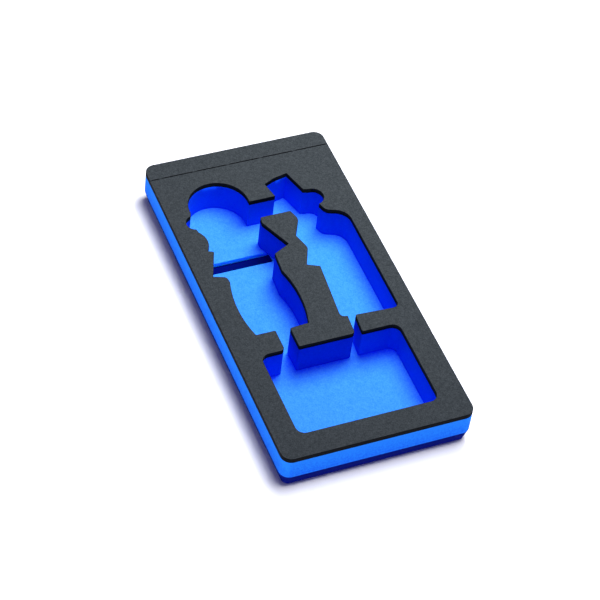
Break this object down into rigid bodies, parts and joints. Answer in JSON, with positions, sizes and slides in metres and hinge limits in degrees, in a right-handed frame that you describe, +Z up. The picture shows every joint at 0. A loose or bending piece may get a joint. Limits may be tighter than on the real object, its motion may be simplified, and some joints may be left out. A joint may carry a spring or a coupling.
{
  "type": "foam drawer inlay",
  "caption": "Flat two-tone foam inlay for a tool drawer: deep pockets cut to trigger-bottle and box outlines wind round a loose island, with a tear-off strip at the back.",
  "frame": {"origin": "middle of the underside", "axes": "+X across the drawer, +Y along the inlay to its tear-off strip at the back of the drawer, +Z up out of the pockets"},
  "size_m": [0.188, 0.384, 0.04],
  "materials": {
    "black_foam": "matte closed-cell foam",
    "blue_foam": "matte closed-cell foam",
    "floor_foam": "matte closed-cell foam"
  },
  "bodies": {
    "root": {"cover_sheet": "black_foam", "wall_block": "blue_foam", "floor_sheet": "floor_foam", "island_cap": "black_foam", "island_block": "blue_foam", "strip_cover": "black_foam", "strip_wall": "blue_foam", "strip_floor": "floor_foam"}
  },
  "joints": []
}
